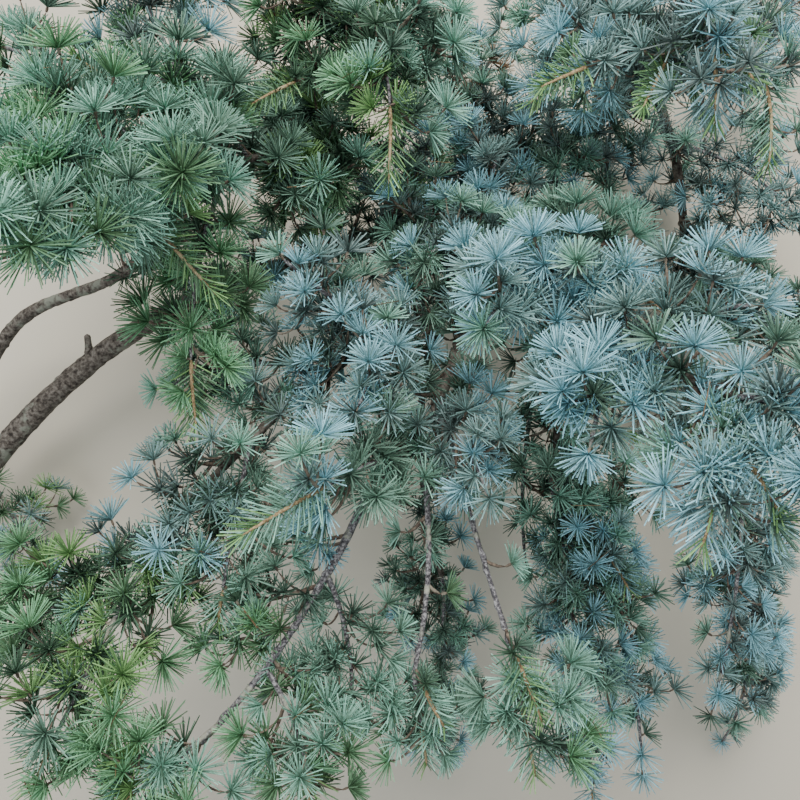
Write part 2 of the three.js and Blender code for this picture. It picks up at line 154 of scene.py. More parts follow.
# Each limb: what carries it, the share of that or a place of its own, tip, bow, sway, radii
FLAT = (0, 0, 0)
LIMBS = {
    "main_limb": (None, (-722, -328, 14.8), (366, 424, 120), (0, 100, 90), (0, 60, 0), (16, 5)),
    "left_limb": ("main_limb", 0.13, (-200, 290, 340), (0, 49, -30), (-25, 51, 0), (9, 4.2)),
    "upper_limb": ("main_limb", 0.57, (-40, 360, 330), (-20, 0, 14), FLAT, (6, 3.4)),
    "near_limb": ("upper_limb", 0.5, (-226, 152, 500), (0, 10, -8), FLAT, (4.8, 3.2)),
    "centre_limb": ("main_limb", 0.69, (-27, -80, 400), (62, 0, 12), FLAT, (8, 4)),
    "bare_twig": ("centre_limb", 1, (-172, -296, 425), (8, -8, 10), FLAT, (3.8, 3.2)),
    "fork_twig": ("centre_limb", 0.84, (12, -236, 420), (12, 0, 4), FLAT, (3.6, 3.2)),
    "tip_twig": ("centre_limb", 0.72, (88, -192, 450), (-6, 8, 12), FLAT, (3.6, 3.2)),
    "drooping_limb": ("centre_limb", 0.4, (-235, -150, 400), (4, 40, 30), FLAT, (5.5, 3.2)),
    "right_limb": ("main_limb", 0.72, (222, 2, 580), (-20, -22, 20), FLAT, (6.5, 3.2)),
    "back_limb": ("main_limb", 0.95, (360, 93, 62), (20, 0, 14), FLAT, (6, 4)),
    "high_limb": ("main_limb", 0.9, (233, 297, 470), (10, 24, -10), FLAT, (5, 3.2)),
    "shaded_limb": ("main_limb", 0.76, (160, -90, 275), (26, 26, 30), FLAT, (5.5, 3.2)),
    "far_limb": ("back_limb", 0.55, (358, -100, 265), (26, 10, 30), FLAT, (5, 3.2)),
    "low_limb": ("centre_limb", 0.22, (48, -200, 215), (-30, 0, -14), FLAT, (4.4, 3.2)),
}

# The radii of twigs that are slimmer than their solid
SLIM = {"fork_twig": (2.5, 1.9), "tip_twig": (2.5, 1.9), "bare_twig": (3.5, 2.4)}

# Each spray: share of the limb, tip, bow, number of twigs, longest twig, tint, length of the long shoot
# that ends it, or 0 where a tuft does
SPRAYS = {
    "main_limb": [
        (0.17, (-486, -262, 34), (20, 0, 20), 3, 78, "green", 0),
        (0.78, (72, 500, 40), (0, 0, 50), 4, 80, "teal", 0),
        (0.82, (104, 176, 262), (-30, 30, 20), 3, 70, "blue", 0),
        (1, (494, 470, 190), (0, 10, 0), 4, 78, "blue", 30),
    ],
    "left_limb": [
        (0.86, (-376, 322, 390), (0, 30, 10), 4, 78, "teal", 0),
        (1, (-262, 446, 330), (-10, 10, 20), 5, 80, "blue", 0),
    ],
    "near_limb": [
        (1, (-290, 112, 592), (0, 6, 0), 4, 62, "teal", 0),
        (0.75, (-284, 200, 536), (0, 14, 0), 4, 62, "teal", 0),
        (0.4, (-206, 270, 446), (0, 10, 0), 4, 60, "teal", 0),
        (0.5, (-176, -24, 420), (-14, 0, 10), 4, 48, "green", 60),
    ],
    "upper_limb": [
        (1, (-98, 452, 318), (0, 0, 10), 4, 80, "green", 0),
        (0.9, (-10, 190, 410), (16, 44, 26), 5, 56, "green", 45),
        (0.62, (-128, 246, 214), (-10, 30, 10), 4, 74, "green", 40),
    ],
    "centre_limb": [
        (0.3, (24, 128, 372), (0, 20, 12), 4, 62, "teal", 0),
        (0.78, (70, -76, 470), (4, 10, 10), 3, 48, "blue", 0),
        (0.9, (-112, -96, 545), (14, 14, 20), 3, 50, "teal", 78),
    ],
    "drooping_limb": [
        (0.22, (-34, -6, 470), (0, 8, 24), 3, 56, "blue", 0),
        (0.3, (-96, 116, 452), (0, 0, 20), 3, 62, "blue", 0),
        (0.45, (-214, 10, 390), (0, 14, 0), 4, 60, "teal", 0),
        (0.68, (-160, -196, 410), (0, 0, 10), 3, 58, "teal", 30),
        (0.94, (-290, -306, 480), (0, 0, 16), 5, 66, "green", 40),
        (1, (-370, -240, 415), (0, 14, 0), 4, 66, "green", 34),
    ],
    "bare_twig": [
        (0.3, (-46, -290, 400), (10, 0, 0), 3, 46, "teal", 30),
        (0.66, (-78, -350, 440), (14, 0, 8), 4, 54, "green", 40),
        (0.9, (-240, -336, 470), (0, 0, 8), 4, 58, "green", 34),
    ],
    "fork_twig": [
        (1, (24, -326, 400), FLAT, 3, 44, "teal", 40),
    ],
    "tip_twig": [
        (1, (112, -312, 450), (0, 0, 8), 3, 46, "teal", 62),
    ],
    "right_limb": [
        (0.46, (66, 56, 500), (0, 10, 14), 3, 60, "blue", 0),
        (0.52, (166, 100, 480), (0, 10, 14), 3, 56, "blue", 0),
        (0.74, (134, -34, 545), (0, 6, 8), 3, 52, "blue", 0),
        (0.84, (250, 66, 548), (0, 12, 8), 3, 52, "blue", 0),
        (1, (290, -32, 608), (0, 8, 4), 3, 54, "blue", 0),
        (0.94, (192, -94, 600), (6, 0, 10), 3, 42, "blue", 54),
    ],
    "back_limb": [
        (0.24, (470, 190, 200), (0, 14, 20), 5, 84, "blue", 0),
        (1, (346, -88, 40), FLAT, 3, 80, "green", 0),
    ],
    "high_limb": [
        (1, (236, 206, 512), (0, 14, 18), 3, 46, "blue", 46),
        (0.7, (328, 206, 400), (30, 34, 10), 4, 54, "teal", 60),
        (0.8, (120, 272, 380), (0, 24, 8), 5, 62, "blue", 56),
    ],
    "shaded_limb": [
        (0.6, (136, -176, 250), (-14, 0, 0), 3, 60, "teal", 0),
        (0.88, (262, -400, 250), (14, 0, 20), 4, 62, "blue", 0),
        (1, (196, -418, 310), (0, 0, 20), 4, 62, "blue", 30),
    ],
    "far_limb": [
        (0.5, (468, 60, 240), (0, 14, 14), 3, 70, "blue", 0),
        (0.9, (326, -324, 280), (0, 0, 20), 3, 60, "blue", 0),
        (1, (436, -460, 40), (10, 0, 40), 4, 66, "blue", 0),
    ],
    "low_limb": [
        (1, (57, -480, 40), (0, 0, 40), 4, 60, "teal", 0),
    ],
}

# Where sprigs stand on a limb: from and to which share, how far apart, the longest, and their tint
SPRIGS = {
    "main_limb": (0.4, 0.99, 21, 92, "teal"),
    "left_limb": (0.62, 0.98, 22, 70, "green"),
    "upper_limb": (0.1, 0.97, 18, 78, "green"),
    "near_limb": (0.06, 0.97, 18, 58, "teal"),
    "centre_limb": (0.1, 0.98, 22, 58, "teal"),
    "drooping_limb": (0.05, 0.98, 17, 58, "blue"),
    "right_limb": (0.1, 0.98, 17, 60, "blue"),
    "back_limb": (0.1, 0.98, 20, 72, "teal"),
    "high_limb": (0.12, 0.98, 19, 68, "teal"),
    "shaded_limb": (0.1, 0.98, 20, 62, "teal"),
    "far_limb": (0.1, 0.98, 19, 60, "teal"),
    "low_limb": (0.1, 0.98, 22, 54, "teal"),
    "bare_twig": (0.1, 0.46, 56, 26, "teal"),
    "fork_twig": (0.3, 0.9, 48, 28, "teal"),
    "tip_twig": (0.3, 0.9, 50, 28, "teal"),
}

# Smaller sprays that fill a limb's own space: limb, share, tip, twigs, longest twig, tint
FILL = [
    ("bare_twig", 0.16, (-104, -132, 372), 1, 30, "blue"),
    ("bare_twig", 0.34, (-134, -186, 380), 2, 34, "teal"),
    ("bare_twig", 0.5, (-176, -222, 384), 2, 36, "green"),
    ("bare_twig", 0.62, (-88, -262, 388), 2, 34, "teal"),
    ("upper_limb", 1.0, (-142, 366, 300), 4, 56, "green"),
    ("upper_limb", 0.7, (-118, 300, 214), 3, 56, "green"),
    ("main_limb", 0.64, (4, 296, 226), 4, 58, "green"),
    ("main_limb", 0.7, (52, 316, 196), 4, 60, "teal"),
    ("main_limb", 0.78, (44, 396, 200), 4, 62, "teal"),
    ("main_limb", 0.9, (238, 240, 178), 4, 54, "teal"),
    ("main_limb", 0.86, (178, 262, 220), 3, 54, "teal"),
    ("high_limb", 0.5, (112, 420, 300), 5, 62, "teal"),
    ("drooping_limb", 0.9, (-232, -218, 376), 3, 54, "green"),
    ("drooping_limb", 0.8, (-150, -140, 350), 2, 46, "teal"),
    ("shaded_limb", 0.85, (258, -116, 286), 3, 54, "teal"),
    ("back_limb", 0.7, (412, 120, 120), 3, 60, "teal"),
    ("left_limb", 0.9, (-142, 330, 330), 3, 56, "teal"),
    ("low_limb", 0.9, (14, -300, 120), 4, 56, "teal"),
    ("upper_limb", 1.0, (44, 318, 372), 4, 58, "teal"),
    ("upper_limb", 0.9, (18, 404, 356), 4, 56, "green"),
    ("high_limb", 0.55, (150, 330, 400), 4, 58, "teal"),
    ("shaded_limb", 1.0, (206, -300, 330), 4, 50, "blue"),
    ("shaded_limb", 0.95, (232, -240, 322), 4, 48, "teal"),
    ("right_limb", 0.5, (184, 158, 404), 4, 52, "teal"),
    ("far_limb", 0.92, (462, -396, 90), 4, 50, "blue"),
    ("centre_limb", 0.2, (-8, 196, 330), 4, 54, "teal"),
    ("upper_limb", 0.55, (-64, 214, 322), 4, 54, "green"),
    ("upper_limb", 0.5, (-124, 184, 330), 3, 50, "green"),
    ("drooping_limb", 0.36, (-60, 44, 392), 3, 46, "blue"),
    ("near_limb", 0.84, (-240, 168, 540), 4, 50, "teal"),
    ("near_limb", 0.7, (-166, 164, 512), 3, 46, "teal"),
    ("near_limb", 0.92, (-242, 130, 566), 3, 44, "teal"),
]

# Slender stems that end in a long shoot: limb, share, tip, length of the shoot, tint
LONG = [
    ("high_limb", 0.82, (184, 222, 506), 84, "green"),
    ("high_limb", 0.76, (108, 240, 498), 62, "green"),
    ("high_limb", 0.9, (262, 236, 520), 60, "green"),
    ("upper_limb", 0.85, (-132, 262, 404), 66, "green"),
    ("near_limb", 0.92, (-152, 86, 446), 74, "green"),
    ("tip_twig", 0.98, (112, -254, 482), 58, "green"),
    ("fork_twig", 0.98, (38, -276, 440), 40, "teal"),
    ("bare_twig", 0.99, (-196, -338, 470), 44, "green"),
    ("left_limb", 0.95, (-262, 276, 470), 50, "teal"),
    ("right_limb", 0.9, (236, -70, 612), 46, "blue"),
    ("shaded_limb", 0.96, (226, -188, 330), 44, "blue"),
]

# How each limb's needles have grown: their length against NEEDLE, how much paler they are, which is painted
# light where above nought and painted shade where below, the share of tufts that take another tint, and that
# tint
GROWTH = {
    "main_limb": (1.0, -0.1, 0.5, "blue"),
    "left_limb": (1.12, -0.12, 0.24, "green"),
    "near_limb": (1.22, 0.22, 0.3, "green"),
    "upper_limb": (1.12, -0.12, 0.34, "teal"),
    "centre_limb": (1.0, 0.04, 0.3, "blue"),
    "drooping_limb": (1.02, -0.04, 0.2, "teal"),
    "bare_twig": (1.02, 0.14, 0.3, "teal"),
    "fork_twig": (0.94, 0.06, 0.2, "green"),
    "tip_twig": (0.98, -0.02, 0.2, "green"),
    "right_limb": (1.11, 0.16, 0.1, "teal"),
    "high_limb": (1.05, -0.12, 0.8, "blue"),
    "back_limb": (0.98, -0.1, 0.75, "blue"),
    "shaded_limb": (1.0, 0.08, 0.4, "teal"),
    "far_limb": (0.9, -0.04, 0.2, "teal"),
    "low_limb": (0.88, -0.04, 0.25, "blue"),
}
# Painted shade: fill sprays and sprigs, which stand within the limbs' foliage, take deeper tufts
FILL_PAINTED_SHADE = -0.06
SPRIG_PAINTED_SHADE = -0.12

# Sprays that differ from their limb: their needles' length against the limb's, and how much paler they are
# (painted light where above nought, painted shade where below)
OWN = {
    "near_spray_1": (1.1, 0.05),
    "near_spray_2": (1.06, 0.0),
    "centre_spray_3": (1.22, 0.05),
    "tip_spray_1": (1.16, 0.0),
    "fork_spray_1": (1.06, 0.0),
    "bare_spray_2": (1.08, 0.0),
    "bare_spray_3": (1.18, 0.05),
    "drooping_spray_5": (1.14, 0.0),
    "drooping_spray_6": (1.08, 0.0),
    "right_spray_4": (0.88, -0.36),
    "right_spray_5": (1.04, 0.0),
    "right_spray_6": (1.1, 0.06),
}


def chance(count, seed):
    """A repeatable number from 0 to 1: the fraction of a long sine of the count and the seed."""
    wave = np.sin(np.asarray(count, float) * 12.9898 + seed * 78.233) * 43758.5453
    return wave - np.floor(wave)


def unit(ways):
    """Each direction divided by its length."""
    return ways / np.linalg.norm(ways, axis=-1, keepdims=True)


def path_of(root, tip, bow=FLAT, sway=FLAT):
    """A straight line from root to tip, plus bow times 4t(1 - t), plus sway times the sine of 2 pi t."""
    root, tip, bow, sway = (np.array(values, float) for values in (root, tip, bow, sway))
    along = tip - root

    def point(t):
        t = np.asarray(t, float)[..., None]
        return root + along * t + bow * 4 * t * (1 - t) + sway * np.sin(2 * np.pi * t)

    def heading(t):
        t = np.asarray(t, float)[..., None]
        return unit(along + bow * 4 * (1 - 2 * t) + sway * 2 * np.pi * np.cos(2 * np.pi * t))

    return SimpleNamespace(point=point, heading=heading, length=np.linalg.norm(along))


def frame_at(path, t):
    """The heading at t and two directions square to it. The first starts level and isn't let twist."""
    start = path.heading(0.0)
    level = np.cross(start, (0, 0, 1))
    if np.linalg.norm(level) < 0.3:
        level = np.cross(start, (1, 0, 0))
    heading = path.heading(t)
    first = unit(level - heading * np.sum(level * heading, axis=-1, keepdims=True))
    return heading, first, np.cross(heading, first)


def twigs_of(stem, twigs, reach, seed):
    """The part's own rule: twigs leave by turns to the left and right, turned out of the flat by chance,
    shorter towards the tip, and each sags towards the side that the bough hung to."""
    grown = []
    for k in range(twigs):
        at = FIRST_TWIG + TWIGS_SPAN * (k + 0.3 * chance(k, seed)) / twigs
        heading, first, second = frame_at(stem, at)
        side = 1 if (k + int(seed + 0.5)) % 2 == 0 else -1
        roll = np.radians(TWIG_ROLL * (chance(k + 20, seed) - 0.5))
        across = first * side * np.cos(roll) + second * np.sin(roll)
        spread = np.radians(TWIG_SPREAD + SPREAD_VARIES * (chance(k + 40, seed) - 0.5))
        way = heading * np.cos(spread) + across * np.sin(spread)
        length = reach * (1 - TWIG_TAPER * k / twigs) * (0.9 + 0.3 * chance(k + 60, seed))
        root = stem.point(at)
        grown.append(path_of(root, root + way * length, bow=(0, -TWIG_SAG * length, 0)))
    return grown


def sprigs_of(limb, row, seed):
    """Stems that leave a limb by turns all round it, mostly towards the light, and lean along it."""
    first_share, last_share, gap, reach, _ = row
    count = int((last_share - first_share) * limb.length / gap)
    grown = []
    for k in range(count):
        at = first_share + (last_share - first_share) * (k + 0.6 * chance(k, seed)) / count
        heading, first, second = frame_at(limb, at)
        turn = k * GOLDEN + 0.8 * chance(k + 20, seed)
        out = first * np.cos(turn) + second * np.sin(turn)
        way = unit(out + SPRIG_TO_LIGHT * SKYWARD + heading * (0.5 + 0.7 * chance(k + 40, seed)))
        length = reach * (0.5 + 0.5 * chance(k + 60, seed))
        root = limb.point(at)
        tip = root + way * length
        tip[2] = max(tip[2], FLOOR_GAP)
        grown.append(path_of(root, tip, bow=(0, -TWIG_SAG * length, 0)))
    return grown


class Mass:
    """A mesh under way: blocks of points and triangles."""

    def __init__(self):
        self.points = []
        self.triangles = []
        self.count = 0

    def add(self, points, triangles):
        self.points.append(points)
        self.triangles.append(triangles + self.count)
        self.count += len(points)


def mesh_object(name, mass, material, smooth, along):
    """The blocks of a mass as one mesh object at the origin, in metres and about the part's own middle."""
    points = (np.concatenate(mass.points) - MIDDLE) * MM
    triangles = np.concatenate(mass.triangles)
    mesh = bpy.data.meshes.new(name)
    mesh.vertices.add(len(points))
    mesh.vertices.foreach_set("co", points.astype(np.float32).ravel())
    mesh.loops.add(triangles.size)
    mesh.loops.foreach_set("vertex_index", triangles.astype(np.int32).ravel())
    mesh.polygons.add(len(triangles))
    mesh.polygons.foreach_set("loop_start", np.arange(0, triangles.size, 3, dtype=np.int32))
    mesh.polygons.foreach_set("use_smooth", np.full(len(triangles), smooth))
    mesh.update(calc_edges=True)
    if along is not None:
        mesh.attributes.new("along", "FLOAT", "POINT").data.foreach_set("value", along.astype(np.float32))
    mesh.materials.append(material)
    thing = bpy.data.objects.new(name, mesh)
    bpy.context.scene.collection.objects.link(thing)
    return thing


def put(name, mass, material, nodes, smooth=False, along=None):
    """Makes the piece, which rides on the one body, takes the finish given and stands for nodes."""
    piece = mesh_object(name, mass, material, smooth, along)
    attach(piece, "root")
    if nodes:
        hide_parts(*nodes)


def square_to(ways):
    """Two directions square to each given one."""
    aside = np.where(np.abs(ways[..., 2:3]) < 0.9, (0.0, 0.0, 1.0), (1.0, 0.0, 0.0))
    first = unit(np.cross(ways, aside))
    return first, np.cross(ways, first)


def rods(middles, radii, sides, roll):
    """Closed rods, many at once. middles is rods by rings by 3, radii is rods by rings, and roll turns each
    rod's rings about its line. Ring points stand at equal angles, two triangles join each side to the
    next ring's, and a fan closes each end."""
    count, rings, _ = middles.shape
    ways = unit(middles[:, -1] - middles[:, 0])
    first, second = square_to(ways)
    angle = roll[:, None] + np.arange(sides) * 2 * np.pi / sides
    out = np.cos(angle)[..., None] * first[:, None] + np.sin(angle)[..., None] * second[:, None]
    points = middles[:, :, None] + radii[:, :, None, None] * out[:, None]
    k = np.arange(sides)
    after = (k + 1) % sides
    walls = []
    for ring in range(rings - 1):
        low, high = ring * sides, (ring + 1) * sides
        walls.append(np.stack([low + k, low + after, high + k], axis=1))
        walls.append(np.stack([high + k, low + after, high + after], axis=1))
    fan = np.stack([np.zeros(sides - 2, int), np.arange(1, sides - 1), np.arange(2, sides)], axis=1)
    one = np.concatenate([*walls, fan[:, ::-1], fan + (rings - 1) * sides])
    triangles = one[None] + (np.arange(count) * rings * sides)[:, None, None]
    return points.reshape(-1, 3), triangles.reshape(-1, 3)


def shell_of(path, radius, shares, sides):
    """A skin round a path: a ring of points at each share, at the radius given for each ring and angle, its
    first and last ring drawn to a point on the path."""
    heading, first, second = frame_at(path, shares)
    angle = np.arange(sides) * 2 * np.pi / sides
    out = np.cos(angle)[None, :, None] * first[:, None] + np.sin(angle)[None, :, None] * second[:, None]
    rings = path.point(shares)[:, None] + radius[..., None] * out
    points = np.concatenate([rings.reshape(-1, 3), path.point(shares[[0, -1]])])
    row = np.arange(len(shares) - 1)[:, None] * sides
    k = np.arange(sides)
    after = (k + 1) % sides
    low = np.stack([row + k, row + after, row + sides + k], axis=-1)
    high = np.stack([row + sides + k, row + after, row + sides + after], axis=-1)
    poles = len(points) - 2
    last = (len(shares) - 1) * sides
    start = np.stack([after, k, np.full(sides, poles)], axis=1)
    end = np.stack([last + k, last + after, np.full(sides, poles + 1)], axis=1)
    triangles = np.concatenate([low.reshape(-1, 3), high.reshape(-1, 3), start, end])
    return points, triangles


def lattice(turn, along, cells, step, seed):
    """Smooth chance from 0 to 1 on a lattice wrapped round a limb: cells round it and one each step along,
    blended between corners by 3t^2 - 2t^3."""
    u = turn / (2 * np.pi) * cells
    v = along / step
    i, j = np.floor(u), np.floor(v)
    f, g = u - i, v - j
    f = f * f * (3 - 2 * f)
    g = g * g * (3 - 2 * g)

    def corner(di, dj):
        return chance(np.mod(i + di, cells) + 61.0 * (j + dj), seed)

    near = corner(0, 0) * (1 - f) + corner(1, 0) * f
    far = corner(0, 1) * (1 - f) + corner(1, 1) * f
    return near * (1 - g) + far * g


def bark_shell(path, thick, seed, sides, rough, cut=False):
    """A limb's bark: a radius that runs from root to tip with a collar at the root, lifted by ridges that run
    along the limb, by small scales, and by knobs where spurs stood. The tip is rounded off, and what
    rests on the floor is pressed flat."""
    shares = np.linspace(0, 1, int(path.length / BARK_STEP) + 1)
    along = (shares * path.length)[:, None]
    turn = (np.arange(sides) * 2 * np.pi / sides)[None]
    radius = thick[0] + (thick[1] - thick[0]) * shares[:, None]
    ridge = 1 - np.abs(2 * lattice(turn, along, 7, 26, seed) - 1)
    scales = lattice(turn, along, 13, 5.5, seed + 1)
    waves = lattice(turn, along, 4, 60, seed + 2)
    relief = 1 + rough * (0.13 * (ridge - 0.5) + 0.12 * (scales - 0.5)) + 0.16 * (waves - 0.5)
    knobs = int(path.length / KNOB_GAP)
    for k in range(knobs):
        spot = path.length * (k + chance(k, seed + 3)) / knobs
        facing = 2 * np.pi * chance(k, seed + 4)
        apart = np.abs((turn - facing + np.pi) % (2 * np.pi) - np.pi) * radius
        size = 1.8 + 1.8 * chance(k, seed + 5)
        relief = relief + KNOB / radius * np.exp(-((along - spot) ** 2 + apart**2) / size**2)
    if not cut:
        relief = relief + COLLAR * np.exp(-((along / (1.6 * thick[0])) ** 2))
    rounding = np.sqrt(np.clip(1 - ((along - path.length + thick[1]) / thick[1]).clip(0) ** 2, 0.04, 1))
    points, triangles = shell_of(path, radius * relief * rounding, shares, sides)
    points[:, 2] = np.maximum(points[:, 2], FLOOR_SKIN)
    return points, triangles


def linear(*colour):
    """A colour of 0 to 255 as the shader's own numbers."""
    share = np.array(colour) / 255
    return (*np.where(share <= 0.04045, share / 12.92, ((share + 0.055) / 1.055) ** 2.4), 1.0)


def new_material(name, roughness, specular):
    """A material with its shader, and short ways to add and join nodes."""
    material = bpy.data.materials.new(name)
    material.use_nodes = True
    tree = material.node_tree
    shader = tree.nodes["Principled BSDF"]
    shader.inputs["Roughness"].default_value = roughness
    shader.inputs["Specular IOR Level"].default_value = specular

    def node(kind, **settings):
        made = tree.nodes.new(kind)
        for key, value in settings.items():
            if key in made.inputs:
                made.inputs[key].default_value = value
            else:
                setattr(made, key, value)
        return made

    return material, shader, node, tree.links.new


def ramp_of(node, stops):
    """A colour ramp with the given places and colours."""
    ramp = node("ShaderNodeValToRGB")
    elements = ramp.color_ramp.elements
    while len(elements) < len(stops):
        elements.new(0.5)
    for element, (place, colour) in zip(elements, stops):
        element.position = place
        element.color = colour
    return ramp


def needle_material(name, deep, middle, bloom_and_highlight):
    """Needles: a pale wax over a deeper colour, in patches the size of a needle and in broader drifts. The
    attribute "along" makes it deeper towards the foot and paler at the tip, partly the needle's own colour
    and partly painted shade in the tuft's core and painted highlight at the tip; it also adds a painted
    highlight on one edge of each needle and painted shade on the other two, and makes each needle unlike the
    next. The ramp's palest stop stands both for the wax and for the painted highlight."""
    material, shader, node, join = new_material(name, 0.55, 0.35)
    place = node("ShaderNodeTexCoord")
    fine = node("ShaderNodeTexNoise", Scale=330.0, Detail=2.0, Roughness=0.6)
    broad = node("ShaderNodeTexNoise", Scale=11.0, Detail=2.0, Roughness=0.5)
    for noise in (fine, broad):
        join(place.outputs["Object"], noise.inputs["Vector"])
    along = node("ShaderNodeAttribute", attribute_name="along")
    total = along.outputs["Fac"]
    for source, weight in ((fine, 0.5), (broad, 0.4)):
        more = node("ShaderNodeMath", operation="MULTIPLY_ADD")
        more.inputs[1].default_value = weight / ALONG
        join(source.outputs["Fac"], more.inputs[0])
        join(total, more.inputs[2])
        total = more.outputs[0]
    scaled = node("ShaderNodeMath", operation="MULTIPLY")
    scaled.inputs[1].default_value = ALONG
    join(total, scaled.inputs[0])
    ramp = ramp_of(node, [(0.38, linear(*deep)), (0.54, linear(*middle)), (0.7, linear(*bloom_and_highlight))])
    join(scaled.outputs[0], ramp.inputs["Fac"])
    join(ramp.outputs["Color"], shader.inputs["Base Color"])
    bump = node("ShaderNodeBump", Strength=0.25, Distance=0.0003)
    join(fine.outputs["Fac"], bump.inputs["Height"])
    join(bump.outputs["Normal"], shader.inputs["Normal"])
    return material


def bark_material(name, furrow, middle, plate, lichen, fine=190.0):
    """Bark: dark furrows, grey plates in cells, and pale patches of lichen, with bump from the same cells."""
    material, shader, node, join = new_material(name, 0.88, 0.25)
    place = node("ShaderNodeTexCoord")
    cells = node("ShaderNodeTexVoronoi", feature="F1", Scale=230.0)
    grain = node("ShaderNodeTexNoise", Scale=fine, Detail=6.0, Roughness=0.65)
    patches = node("ShaderNodeTexNoise", Scale=38.0, Detail=4.0, Roughness=0.6)
    for noise in (cells, grain, patches):
        join(place.outputs["Object"], noise.inputs["Vector"])
    ramp = ramp_of(node, [(0.36, linear(*furrow)), (0.5, linear(*middle)), (0.62, linear(*plate))])
    join(grain.outputs["Fac"], ramp.inputs["Fac"])
    where = ramp_of(node, [(0.56, (0, 0, 0, 1)), (0.63, (1, 1, 1, 1))])
    join(patches.outputs["Fac"], where.inputs["Fac"])
    over = node("ShaderNodeMix", data_type="RGBA")
    over.inputs[7].default_value = linear(*lichen)
    join(where.outputs["Color"], over.inputs[0])
    join(ramp.outputs["Color"], over.inputs[6])
    join(over.outputs[2], shader.inputs["Base Color"])
    height = node("ShaderNodeMath", operation="ADD")
    join(cells.outputs["Distance"], height.inputs[0])
    join(grain.outputs["Fac"], height.inputs[1])
    bump = node("ShaderNodeBump", Strength=0.7, Distance=0.0012)
    join(height.outputs[0], bump.inputs["Height"])
    join(bump.outputs["Normal"], shader.inputs["Normal"])
    return material


def cut_wood_material(name, centre):
    """Sawn wood: rings that are a sine of the distance from the pith, made uneven by a broad noise, and
    pores and saw marks from a fine one."""
    material, shader, node, join = new_material(name, 0.75, 0.25)
    place = node("ShaderNodeTexCoord")
    reach = node("ShaderNodeVectorMath", operation="DISTANCE")
    reach.inputs[1].default_value = tuple(centre)
    join(place.outputs["Object"], reach.inputs[0])
    drift = node("ShaderNodeTexNoise", Scale=70.0, Detail=2.0)
    grain = node("ShaderNodeTexNoise", Scale=900.0, Detail=4.0, Roughness=0.7)
    for noise in (drift, grain):
        join(place.outputs["Object"], noise.inputs["Vector"])
    total = reach.outputs["Value"]
    for source, weight in ((drift, 0.0018), (grain, 0.0005)):
        more = node("ShaderNodeMath", operation="MULTIPLY_ADD")
        more.inputs[1].default_value = weight
        join(source.outputs["Fac"], more.inputs[0])
        join(total, more.inputs[2])
        total = more.outputs[0]
    waves = node("ShaderNodeMath", operation="MULTIPLY")
    waves.inputs[1].default_value = RINGS
    join(total, waves.inputs[0])
    ring = node("ShaderNodeMath", operation="SINE")
    join(waves.outputs[0], ring.inputs[0])
    half = node("ShaderNodeMath", operation="MULTIPLY_ADD")
    half.inputs[1].default_value = 0.5
    half.inputs[2].default_value = 0.5
    join(ring.outputs[0], half.inputs[0])
    late, early, pale = linear(164, 128, 92), linear(196, 166, 126), linear(208, 182, 144)
    ramp = ramp_of(node, [(0.0, late), (0.3, early), (1.0, pale)])
    join(half.outputs[0], ramp.inputs["Fac"])
    join(ramp.outputs["Color"], shader.inputs["Base Color"])
    bump = node("ShaderNodeBump", Strength=0.5, Distance=0.0004)
    join(grain.outputs["Fac"], bump.inputs["Height"])
    join(bump.outputs["Normal"], shader.inputs["Normal"])
    return material


# Each tint in a pale, a mid and a deep copy: painted light for outer tufts, painted shade for inner ones, the
# mid between
NEEDLE_FINISHES = {
    "blue_pale": needle_material("waxy_blue_pale", (100, 134, 135), (137, 182, 189), (168, 223, 237)),
    "blue_mid": needle_material("waxy_blue_mid", (86, 107, 101), (118, 146, 140), (148, 187, 185)),
    "blue_deep": needle_material("waxy_blue_deep", (64, 79, 75), (94, 111, 107), (121, 145, 142)),
    "teal_pale": needle_material("waxy_teal_pale", (88, 119, 101), (125, 166, 147), (157, 211, 190)),
    "teal_mid": needle_material("waxy_teal_mid", (71, 97, 81), (102, 134, 115), (134, 174, 154)),
    "teal_deep": needle_material("waxy_teal_deep", (51, 70, 59), (78, 104, 89), (104, 135, 118)),
    "green_pale": needle_material("needle_green_pale", (77, 112, 77), (109, 154, 111), (139, 195, 152)),
    "green_mid": needle_material("needle_green_mid", (59, 87, 59), (86, 119, 84), (112, 154, 117)),
    "green_deep": needle_material("needle_green_deep", (41, 62, 48), (64, 91, 70), (87, 119, 96)),
    "young": needle_material("needle_young", (85, 122, 74), (113, 153, 92), (147, 190, 124)),
    "dead": needle_material("needle_dead", (84, 64, 46), (120, 94, 66), (152, 124, 92)),
}
SLOTS = {"blue": "needles_blue", "teal": "needles_teal", "green": "needles_green"}
FINE_GRAIN = 420.0  # scale of the bark's grain on slender twigs
BARK = bark_material("grey_bark", (46, 40, 36), (92, 85, 78), (122, 116, 108), (128, 130, 118))
TWIG_BARK = bark_material(
    "twig_bark", (46, 44, 47), (104, 101, 104), (170, 168, 168), (164, 164, 148), FINE_GRAIN
)
SHOOT_BARK = bark_material("shoot_bark", (70, 60, 54), (106, 93, 82), (138, 124, 108), (138, 130, 116))
LONG_BARK = bark_material(
    "long_shoot_bark", (104, 84, 60), (148, 126, 94), (184, 162, 124), (172, 158, 124), FINE_GRAIN
)

needle_sites = {name: [] for name in NEEDLE_FINISHES}
single_needles = {name: [] for name in NEEDLE_FINISHES}
wood = Mass()
shoots = Mass()
long_shoots = Mass()
spurs = []


